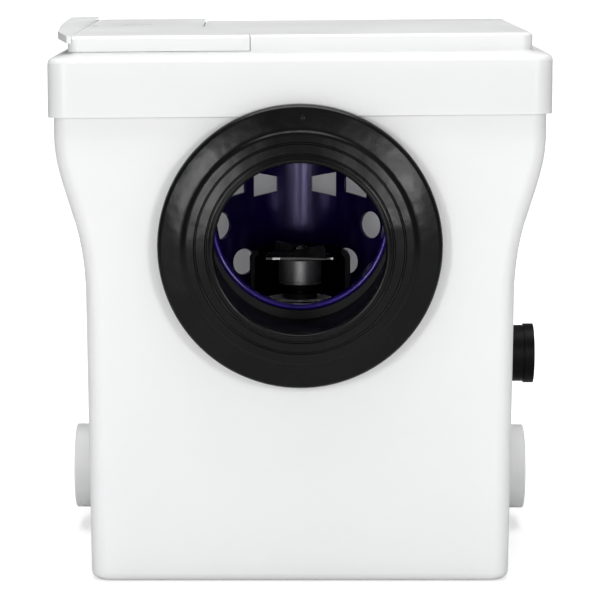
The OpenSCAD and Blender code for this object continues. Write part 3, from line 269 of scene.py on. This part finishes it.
def cut(piece, points, faces):
    mesh = mesh_from("tool", points, faces)
    tool = bpy.data.objects.new("tool", mesh)
    scene.collection.objects.link(tool)
    trim = piece.modifiers.new("trim", "BOOLEAN")
    trim.operation = "DIFFERENCE"
    trim.object = tool
    trim.solver = "EXACT"
    apply_modifiers(piece)
    bpy.data.objects.remove(tool)
    bpy.data.meshes.remove(mesh)


def block(low, high):
    points = [(x * MM, y * MM, z * MM)
              for z in (low[2], high[2]) for y in (low[1], high[1]) for x in (low[0], high[0])]
    return points, [(0, 2, 3, 1), (4, 5, 7, 6), (0, 1, 5, 4), (2, 6, 7, 3), (0, 4, 6, 2), (1, 3, 7, 5)]


def rings_of_faces(rings, count, closed=True):
    """Faces between neighbouring rings of points, the last ring joined to the first."""
    faces = []
    for i in range(rings):
        j = (i + 1) % rings
        for k in range(count if closed else count - 1):
            n = (k + 1) % count
            faces.append((i * count + k, j * count + k, j * count + n, i * count + n))
    return faces


def turned(profile, steps, place, closed=True):
    """Turn a profile of (radius, height) points about Z and lay it with a matrix."""
    points = []
    for i in range(steps):
        a = 2 * math.pi * i / steps
        points += [place @ Vector((r * MM * math.cos(a), r * MM * math.sin(a), h * MM)) for r, h in profile]
    return points, rings_of_faces(steps, len(profile), closed)


def arc(cx, cy, r, start, end, steps):
    angles = [math.radians(start + (end - start) * i / steps) for i in range(steps + 1)]
    return [(cx + r * math.cos(a), cy + r * math.sin(a)) for a in angles]


def to_front(x, y, z):
    """Lay a turned piece with its axis pointing to the front."""
    return Matrix.Translation((x * MM, y * MM, z * MM)) @ Matrix.Rotation(math.radians(90), 4, "X")


def dressed(name, width, segments=2, angle=38, warp=None):
    """A copy of a CAD node with rounded edges and smooth curved faces, in the node's place."""
    mesh = NODES[name].data.copy()
    bm = bmesh.new()
    bm.from_mesh(mesh)
    bmesh.ops.remove_doubles(bm, verts=bm.verts, dist=2e-6)
    bmesh.ops.dissolve_limit(bm, angle_limit=math.radians(0.6), verts=bm.verts, edges=bm.edges)
    bm.to_mesh(mesh)
    bm.free()
    piece = add_object(name + "_shape", mesh, LOOKS[SLOT_OF[name]], BODY_OF[name])
    add_bevel(piece, width * MM, segments, angle)
    settle(piece)
    if warp:
        for v in piece.data.vertices:
            v.co = warp(v.co)
    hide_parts(name)
    return piece


# The tank's foot is slightly arched, and the lid sits a little lower on its left
FOOT_ARCH = 1.1 * MM
FOOT_FADE_H, FOOT_HALF_W = 20 * MM, 100 * MM
LID_LEAN = 1.1 / 135


def arch_foot(p):
    fade = max(0.0, 1 - p.z / FOOT_FADE_H)
    return Vector((p.x, p.y, p.z + FOOT_ARCH * fade * max(0.0, 1 - (p.x / FOOT_HALF_W) ** 2)))


def lean(p):
    return Vector((p.x, p.y, p.z + LID_LEAN * p.x))


# Width of the rounded edges on the other CAD nodes, by node
SOFT_EDGES = {
    "lid_gasket": 0.5, "inlet_tube": 0.6, "basket": 0.45, "grinding_plate": 0.25, "cutter_guard": 0.4,
    "cutter_hub": 0.4, "cutter_slinger": 0.5, "bar_blade": 0.15, "upturned_blade": 0.18, "blade_nut": 0.3,
    "shaft": 0.3, "rotor_core": 0.4, "stator_core": 0.3, "motor_can": 0.5, "motor_top_cap": 1.0,
    "motor_end_plate": 0.7, "upper_bearing": 0.3, "lower_bearing": 0.3, "upper_shaft_seal": 0.4,
    "lower_shaft_seal": 0.4, "pump_casing": 1.0, "impeller": 0.4, "suction_plate": 0.7,
    "suction_strainer": 0.4, "pump_feet": 0.6, "pump_screws": 0.3, "discharge_pipe": 0.4,
    "discharge_outlet": 0.5, "outlet_locknut": 0.5, "discharge_flap": 0.3, "left_inlet_seat": 0.4,
    "right_inlet_seat": 0.4, "left_inlet_flap": 0.5, "right_inlet_flap": 0.5, "flap_pins": 0.2,
    "pressure_bell": 0.6, "pressure_hose": 0.3, "pressure_switch": 0.6, "switch_diaphragm": 0.2,
    "control_box": 0.6, "control_box_cover": 0.6, "control_screws": 0.2, "capacitor": 0.5,
    "capacitor_clip": 0.2, "vent_filter": 0.4, "cable_grommet": 0.6, "hose_clamps": 0.2,
}
dressed("tank", 0.9, 3, 40, warp=arch_foot)
dressed("lid", 0.5, 2, 40, warp=lean)
dressed("service_cover", 0.5, 2, 40, warp=lean)
for node_name, width in SOFT_EDGES.items():
    dressed(node_name, width)

# Places and sizes that the pieces below share, in millimetres
FRONT_Y, INLET_Z = -115.0, 185.7
AXIS_Y = 30.0
BASKET_MOUTH_Y, BASKET_MOUTH_Z = -39.0, 190.4
LIP_R, SLEEVE_R, SLEEVE_D = 45.6, 76.2, 19.6
STEP_R, STEP_D = 62.7, 16.2
GROOVE_HALF_W, GROOVE_DEPTH = 0.75, 0.75
FIRST_GROOVE, BETWEEN_GROOVES, SECOND_GROOVE = 4.5, 7.5, 10.5
LIP_EDGE_R, LIP_BACK_R, LIP_BACK_D = 1.9, 1.7, 15.5
FLANGE_EDGE_R, FLANGE_EDGE_D, FLANGE_WALL, FLANGE_FLOOR_D, TANK_GAP = 3.4, 8.9, 4.0, 9.0, 0.3
NECK_R, NECK_OUT_R = 57.9, 62.2
BAND_BOTTOM_Z = 253.5


def sleeve_face(r):
    """Height of the sleeve's inner ring, which slopes from the lip down to the step."""
    return STEP_D + (SLEEVE_D - STEP_D) * (STEP_R - r) / (STEP_R - LIP_R)


def groove(place):
    r, half = LIP_R + place, GROOVE_HALF_W
    floor_d = sleeve_face(r) - GROOVE_DEPTH
    side_d = sleeve_face(r) - GROOVE_DEPTH * 0.8
    return [(r - half, sleeve_face(r - half)), (r - half / 2, side_d), (r, floor_d), (r + half / 2, side_d),
            (r + half, sleeve_face(r + half))]


def toilet_sleeve():
    """Rubber sleeve: turned with a soft step, two shallow grooves and a rounded lip."""
    lip = [(LIP_R + 4, LIP_BACK_D), (LIP_R + 0.6, LIP_BACK_D + 0.1)]
    lip += arc(LIP_R + LIP_BACK_R, 17.3, LIP_BACK_R, 200, 180, 2)
    lip += arc(LIP_R + LIP_EDGE_R, SLEEVE_D - LIP_EDGE_R, LIP_EDGE_R, 180, 90, 8)
    ring = [(LIP_R + 3.0, sleeve_face(LIP_R + 3.0))] + groove(FIRST_GROOVE)
    ring += [(LIP_R + BETWEEN_GROOVES, sleeve_face(LIP_R + BETWEEN_GROOVES))] + groove(SECOND_GROOVE)
    step = [(STEP_R - 2.6, sleeve_face(STEP_R - 2.6)), (STEP_R - 1.5, sleeve_face(STEP_R - 1.5) - 0.05),
            (STEP_R - 0.7, 15.9), (STEP_R, 15.2), (STEP_R + 0.8, 14.75), (STEP_R + 2.2, 14.45)]
    flange = [(STEP_R + 6, 13.6)] + arc(SLEEVE_R - FLANGE_EDGE_R, FLANGE_EDGE_D, FLANGE_EDGE_R, 75, 0, 9)
    flange += [(SLEEVE_R, 4.0), (SLEEVE_R - 0.4, 0.6), (SLEEVE_R - 1.0, TANK_GAP)]
    back = [(SLEEVE_R - FLANGE_WALL, TANK_GAP), (SLEEVE_R - FLANGE_WALL, FLANGE_FLOOR_D),
            (NECK_OUT_R, FLANGE_FLOOR_D), (NECK_OUT_R, TANK_GAP), (NECK_R, TANK_GAP), (NECK_R, LIP_BACK_D)]
    points, faces = turned(lip + ring + step + flange + back, 192, to_front(0, FRONT_Y, INLET_Z))
    sleeve = add_object("toilet_sleeve_shape", mesh_from("toilet_sleeve_shape", points, faces),
                        LOOKS["sleeve_rubber"], "station")
    # The lid's band takes the top of the flange
    band_low = (-SLEEVE_R - 0.8, FRONT_Y - 3.3, BAND_BOTTOM_Z)
    band_high = (SLEEVE_R + 0.8, 0, BAND_BOTTOM_Z + 16.5)
    cut(sleeve, *block(band_low, band_high))
    settle(sleeve, 50)
    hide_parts("toilet_sleeve")


def sleeve_mark():
    """Small moulding mark at the top of the sleeve's flange."""
    profile = [(0.0, -0.4), (1.5, -0.4), (1.5, 0.25), (1.2, 0.5), (0.7, 0.55), (0.55, 0.3), (0.0, 0.3)]
    points, faces = turned(profile, 32, to_front(1.6, FRONT_Y - 13.3, INLET_Z + 69.0), closed=False)
    mark = add_object("sleeve_mark", mesh_from("sleeve_mark", points, faces), LOOKS["sleeve_rubber"],
                      "station")
    settle(mark, 40)


def basket_lip():
    """Rolled rim on the basket's inlet, seen through the sleeve as a bright violet line; its violet is
    painted lighter than the basket's, a painted highlight for the light that falls on it.
    """
    rim_r, roll_r, skirt_h = 49.2, 1.45, 2.6
    profile = [(rim_r + 1.0, -skirt_h)] + arc(rim_r, 0.0, roll_r, 0, 180, 12) + [(rim_r - 1.4, -skirt_h)]
    points, faces = turned(profile, 160, to_front(0, BASKET_MOUTH_Y, BASKET_MOUTH_Z))
    lip = add_object("basket_lip", mesh_from("basket_lip", points, faces), LIT_RIM_PAINT, "station")
    settle(lip, 40)


def tube_end_seal():
    """Black seal in the crescent between the inlet tube's end and the basket's rim."""
    outer_r, limit_r, inner_r, steps = 53.4, 53.3, 51.1, 96
    points = []
    for i in range(steps):
        a = 2 * math.pi * i / steps
        outer = (outer_r * math.cos(a), outer_r * math.sin(a))
        inner = (inner_r * math.cos(a), BASKET_MOUTH_Z - INLET_Z + inner_r * math.sin(a))
        away = math.hypot(*inner)
        if away > limit_r:
            inner = (inner[0] * limit_r / away, inner[1] * limit_r / away)
        for x, z in (outer, inner):
            points += [(x * MM, y * MM, (INLET_Z + z) * MM)
                       for y in (BASKET_MOUTH_Y - 0.6, BASKET_MOUTH_Y + 0.4)]
    faces = [(i * 4 + k, (i + 1) % steps * 4 + k, (i + 1) % steps * 4 + n, i * 4 + n)
             for i in range(steps) for k, n in ((0, 2), (2, 3), (3, 1), (1, 0))]
    seal = add_object("tube_end_seal", mesh_from("tube_end_seal", points, faces), LOOKS["black_rubber"],
                      "station")
    soften(seal, 30)


def painted_glint_block(name, low_x, high_x):
    """Bright steel block at the bar blade's end: a painted glint, standing in for light caught by the edge.
    """
    front_y, back_y, low_z, high_z = 23.45, 23.8, 160.4, 161.8
    points, faces = block((low_x, front_y, low_z), (high_x, back_y, high_z))
    glint_block = add_object(name, mesh_from("painted_glint_block", points, faces), GLINT_PAINT_STEEL, "rotor")
    add_bevel(glint_block, 0.1 * MM)
    settle(glint_block)


def coil_ends(name, core_z, side):
    """Crown of wound coil ends at one end of the stator's core."""
    rows, around, lobes = 120, 12, 12
    crown_r, half_w, half_h, rise = 36.3, 8.0, 3.4, 4.6
    points = []
    for i in range(rows):
        a = 2 * math.pi * i / rows
        lobe = 0.5 + 0.5 * math.cos(lobes * a)
        for k in range(around):
            b = 2 * math.pi * k / around
            r = crown_r + (half_w - 1.2 * lobe) * math.cos(b)
            z = core_z + side * (rise + (half_h + 0.8 * lobe) * math.sin(b))
            points.append((r * math.cos(a) * MM, (AXIS_Y + r * math.sin(a)) * MM, z * MM))
    coil = add_object(name, mesh_from("coil", points, rings_of_faces(rows, around)), LOOKS["winding_copper"],
                      "station")
    soften(coil, 60)
    return coil


toilet_sleeve()
sleeve_mark()
basket_lip()
tube_end_seal()
# Painted glints: bright steel blocks at both ends of the bar blade.
painted_glint_block("painted_glint_left", -16.4, -11.8)
painted_glint_block("painted_glint_right", 17.9, 19.6)
coil_ends("coil_ends_low", 60.5, -1)
coil = coil_ends("coil_ends_high", 101.5, 1)
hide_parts("stator_windings")


# Camera as fitted to the photograph: a long lens, above the lid's height, tilted 8 degrees down
FOCAL_PX, PICTURE_PX, SENSOR_W = 2668.0, 600.0, 36.0
CAMERA_PLACE, CAMERA_TURN = (0, -1.536, 0.3557), (math.radians(82), 0, 0)
camera = bpy.data.cameras.new("camera")
camera.sensor_width = SENSOR_W
camera.lens = FOCAL_PX / PICTURE_PX * SENSOR_W
camera.clip_start = 0.05
camera.clip_end = 60.0
camera_object = bpy.data.objects.new("camera", camera)
camera_object.location = CAMERA_PLACE
camera_object.rotation_euler = CAMERA_TURN
scene.collection.objects.link(camera_object)
scene.camera = camera_object

# Brightness of the floor's own white near the object and far from it, and of the room
FLOOR_HALF, FLOOR_GREY = 30, 0.6
NEAR_DISTANCE, FAR_DISTANCE, NEAR_WHITE, FAR_WHITE = 0.15, 1.6, 0.5, 1.0
WORLD_LEVEL = 0.27


def floor_look():
    """Plain, matt floor, lifted to white for the camera away from the object's shadow."""
    look = bpy.data.materials.new("floor_white")
    look.use_nodes = True
    nodes, link = look.node_tree.nodes, look.node_tree.links.new
    shader = nodes["Principled BSDF"]
    set_sockets(shader, {"Base Color": (FLOOR_GREY, FLOOR_GREY, FLOOR_GREY, 1), "Roughness": 0.9,
                         "Specular IOR Level": 0.1})
    light_path = nodes.new("ShaderNodeLightPath")
    shine = nodes.new("ShaderNodeEmission")
    shine.inputs["Color"].default_value = (1, 1, 1, 1)
    position = nodes.new("ShaderNodeTexCoord")
    length = nodes.new("ShaderNodeVectorMath")
    length.operation = "LENGTH"
    link(position.outputs["Object"], length.inputs[0])
    fade = nodes.new("ShaderNodeMapRange")
    set_sockets(fade, {"From Min": NEAR_DISTANCE, "From Max": FAR_DISTANCE, "To Min": NEAR_WHITE,
                       "To Max": FAR_WHITE})
    link(length.outputs["Value"], fade.inputs["Value"])
    seen = nodes.new("ShaderNodeMath")
    seen.operation = "MULTIPLY"
    link(fade.outputs["Result"], seen.inputs[0])
    link(light_path.outputs["Is Camera Ray"], seen.inputs[1])
    link(seen.outputs["Value"], shine.inputs["Strength"])
    both = nodes.new("ShaderNodeAddShader")
    link(shader.outputs["BSDF"], both.inputs[0])
    link(shine.outputs["Emission"], both.inputs[1])
    link(both.outputs["Shader"], nodes["Material Output"].inputs["Surface"])
    return look


corners = [(-FLOOR_HALF, -FLOOR_HALF, 0), (FLOOR_HALF, -FLOOR_HALF, 0), (FLOOR_HALF, FLOOR_HALF, 0),
           (-FLOOR_HALF, FLOOR_HALF, 0)]
floor_mesh = bpy.data.meshes.new("floor")
floor_mesh.from_pydata(corners, [], [(0, 1, 2, 3)])
floor_mesh.materials.append(floor_look())
floor = bpy.data.objects.new("floor", floor_mesh)
scene.collection.objects.link(floor)


def set_world():
    """An even, dim room that the camera sees as white."""
    world = bpy.data.worlds.new("world")
    scene.world = world
    world.use_nodes = True
    nodes, link = world.node_tree.nodes, world.node_tree.links.new
    room = nodes["Background"]
    set_sockets(room, {"Color": (1, 1, 1, 1), "Strength": WORLD_LEVEL})
    white = nodes.new("ShaderNodeBackground")
    set_sockets(white, {"Color": (1, 1, 1, 1), "Strength": 1.0})
    light_path = nodes.new("ShaderNodeLightPath")
    choose = nodes.new("ShaderNodeMixShader")
    link(light_path.outputs["Is Camera Ray"], choose.inputs["Fac"])
    link(room.outputs["Background"], choose.inputs[1])
    link(white.outputs["Background"], choose.inputs[2])
    link(choose.outputs["Shader"], nodes["World Output"].inputs["Surface"])


def area_light(name, place, target, size, power):
    data = bpy.data.lights.new(name, "AREA")
    data.shape = "RECTANGLE"
    data.size, data.size_y = size
    data.energy = power
    light = bpy.data.objects.new(name, data)
    light.location = place
    light.rotation_euler = (Vector(target) - Vector(place)).to_track_quat("-Z", "Y").to_euler()
    scene.collection.objects.link(light)


# Studio lights: a softbox on each side of the camera, a top light, one behind, and upright strips and low
# boxes that reach the cutter through the sleeve
set_world()
FRONT_AIM, MIDDLE_AIM = (0, -0.1, 0.2), (0, 0, 0.2)
area_light("left_box", (-0.64, -1.43, 0.42), FRONT_AIM, (0.22, 0.46), 9.6)
area_light("right_box", (0.66, -1.43, 0.47), FRONT_AIM, (0.2, 0.38), 8.7)
area_light("top_light", (0, -0.1, 1.7), MIDDLE_AIM, (1.4, 1.0), 35)
area_light("back_light", (0, 1.7, 0.15), (0, 0.1, 0.15), (0.9, 0.22), 6)
area_light("left_strip", (-0.3, -1.5, 0.42), MIDDLE_AIM, (0.08, 0.7), 1.0)
area_light("right_strip", (0.3, -1.5, 0.42), MIDDLE_AIM, (0.08, 0.7), 1.0)
area_light("left_low", (-0.12, -1.5, 0.092), FRONT_AIM, (0.09, 0.16), 0.6)
area_light("right_low", (0.11, -1.5, 0.1), FRONT_AIM, (0.08, 0.14), 0.5)
scene.view_settings.view_transform = "Standard"
